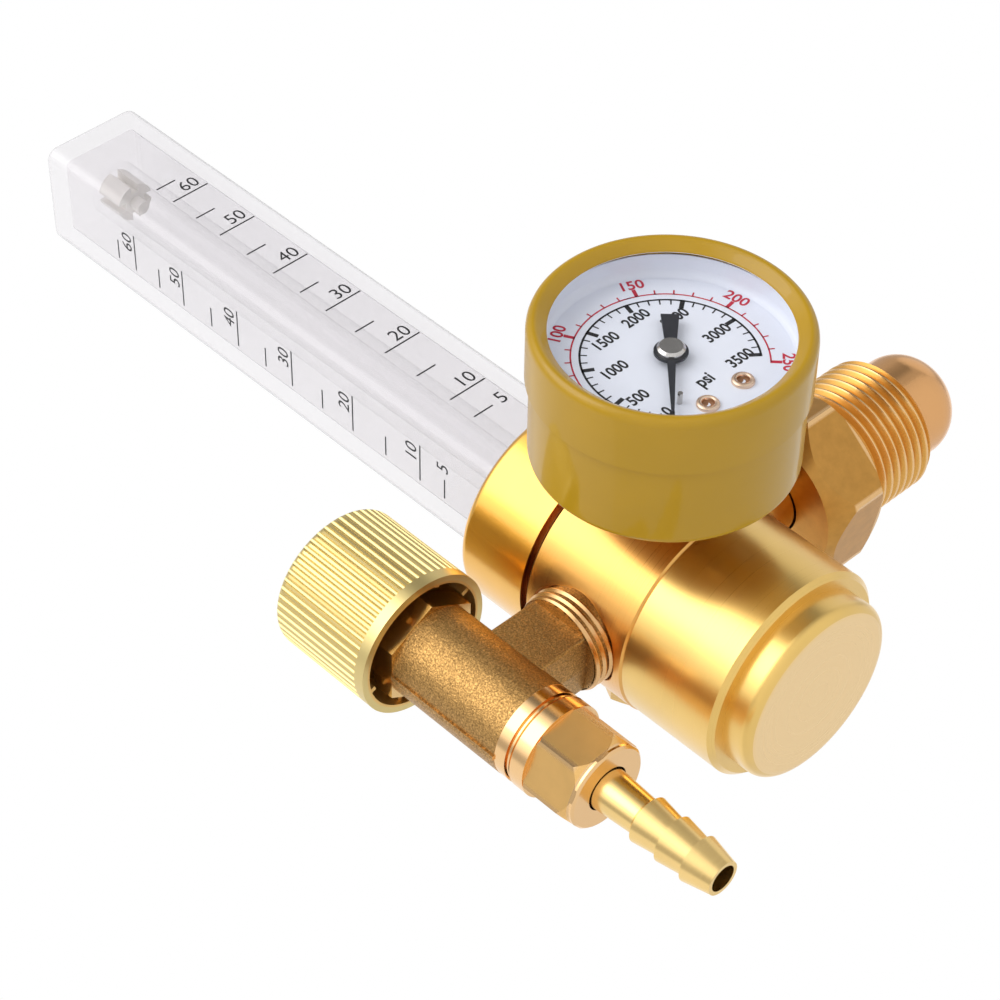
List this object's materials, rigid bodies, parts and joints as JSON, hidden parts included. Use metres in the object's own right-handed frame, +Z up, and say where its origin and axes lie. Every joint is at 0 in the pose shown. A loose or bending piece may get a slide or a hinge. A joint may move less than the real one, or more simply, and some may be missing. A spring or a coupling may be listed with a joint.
{
  "type": "gas flowmeter regulator",
  "caption": "Brass cylinder-to-hose gas regulator with round pressure gauge, clear square flow tube, fluted needle valve knob and hose barb.",
  "frame": {"origin": "middle of the inlet nipple's round land, on the inlet's axis", "axes": "+X out of the inlet, towards the cylinder valve; +Y towards the relief valve, away from the gauge; +Z up along the flow tube"},
  "size_m": [0.1194, 0.0775, 0.1985],
  "materials": {
    "satin_gold": "satin gold anodised",
    "bright_gold": "bright gold anodised",
    "pale_gold": "plated, fluted",
    "turned_brass": "machined",
    "cast_bronze": "sand cast, grainy",
    "sintered_bronze": "porous",
    "mustard_paint": "glossy",
    "dark_paint": "matte",
    "dial_white": "printed",
    "polished_steel": "bright",
    "spring_steel": "drawn wire",
    "clear_plastic": "clear, printed scale",
    "gauge_window": "clear",
    "seat_nylon": "plain",
    "seal_rubber": "matte"
  },
  "bodies": {
    "fixed": {"body_block": "satin_gold", "bottom_bonnet": "satin_gold", "nozzle": "turned_brass", "stem_guide": "turned_brass", "stem_guide_seal": "seal_rubber", "cover_collar": "bright_gold", "cover_seal": "seal_rubber", "flow_tube_cover": "clear_plastic", "tube_seat": "turned_brass", "tube_seal": "seal_rubber", "flow_tube": "clear_plastic", "float_stop": "polished_steel", "inlet_nipple": "turned_brass", "inlet_filter": "sintered_bronze", "relief_body": "turned_brass", "relief_cap": "turned_brass", "gauge_case": "mustard_paint", "case_screws": "polished_steel", "gauge_bezel": "mustard_paint", "gauge_lens": "gauge_window", "gauge_dial": "dial_white", "dial_screws": "turned_brass", "zero_pin": "polished_steel", "gauge_socket": "turned_brass", "bourdon_tube": "turned_brass", "movement_bottom_plate": "turned_brass", "movement_top_plate": "turned_brass", "valve_body": "cast_bronze", "packing_nut": "turned_brass", "hose_nut": "turned_brass", "hose_barb": "turned_brass", "main_spring": "spring_steel", "relief_spring": "spring_steel"},
    "stem_ring": {"stem_seal": "seal_rubber"},
    "knob": {"valve_knob": "pale_gold", "valve_stem": "turned_brass", "knob_screw": "polished_steel"},
    "float": {"float_ball": "polished_steel"},
    "inlet_nut": {"inlet_nut": "turned_brass"},
    "sector": {"sector_gear": "turned_brass", "sector_arbor": "polished_steel"},
    "link": {"movement_link": "polished_steel"},
    "pointer": {"pinion_arbor": "polished_steel", "hairspring": "spring_steel", "pointer": "dark_paint", "pointer_cap": "polished_steel"},
    "piston": {"piston": "turned_brass", "piston_seal": "seal_rubber", "seat_disc": "seat_nylon"},
    "relief_poppet": {"relief_poppet": "seat_nylon"}
  },
  "joints": [
    {"name": "stem_rise", "type": "slide", "parent": "fixed", "child": "stem_ring", "axis": [0, 0, 1], "range_m": [0, 0.00301]},
    {"name": "knob_turn", "type": "hinge", "parent": "stem_ring", "child": "knob", "pos_m": [-0.0965, 0, 0], "axis": [0, 0, 1], "range_deg": [0, 1080]},
    {"name": "float_rise", "type": "slide", "parent": "fixed", "child": "float", "axis": [0, 0, 1], "range_m": [0, 0.1125]},
    {"name": "inlet_nut_spin", "type": "hinge", "parent": "fixed", "child": "inlet_nut", "pos_m": [0, 0, 0], "axis": [1, 0, 0], "continuous": true},
    {"name": "sector_swing", "type": "hinge", "parent": "fixed", "child": "sector", "pos_m": [-0.0586, -0.0385, 0.0135], "axis": [0, -1, 0], "range_deg": [0, 33.75], "stiffness_Nm_per_rad": 0.02},
    {"name": "pointer_turn", "type": "hinge", "parent": "fixed", "child": "pointer", "pos_m": [-0.0586, -0.0385, 0], "axis": [0, 1, 0], "range_deg": [0, 270.01], "deforming": ["hairspring"]},
    {"name": "link_swing", "type": "hinge", "parent": "sector", "child": "link", "pos_m": [-0.05353, -0.0385, 0.01467], "axis": [0, -1, 0], "range_deg": [-33.76, 0]},
    {"name": "piston_travel", "type": "slide", "parent": "fixed", "child": "piston", "axis": [0, 0, 1], "range_m": [0, 0.001], "stiffness_N_per_m": 2000, "deforming": ["main_spring"]},
    {"name": "relief_lift", "type": "slide", "parent": "fixed", "child": "relief_poppet", "axis": [0, 1, 0], "range_m": [0, 0.001], "stiffness_N_per_m": 600, "deforming": ["relief_spring"]}
  ],
  "couplings": [
    {"joint": "stem_rise", "follows": "knob_turn", "m_per_rad": 0.00015915},
    {"joint": "pointer_turn", "follows": "sector_swing", "ratio": 8},
    {"joint": "link_swing", "follows": "sector_swing", "ratio": -1}
  ]
}
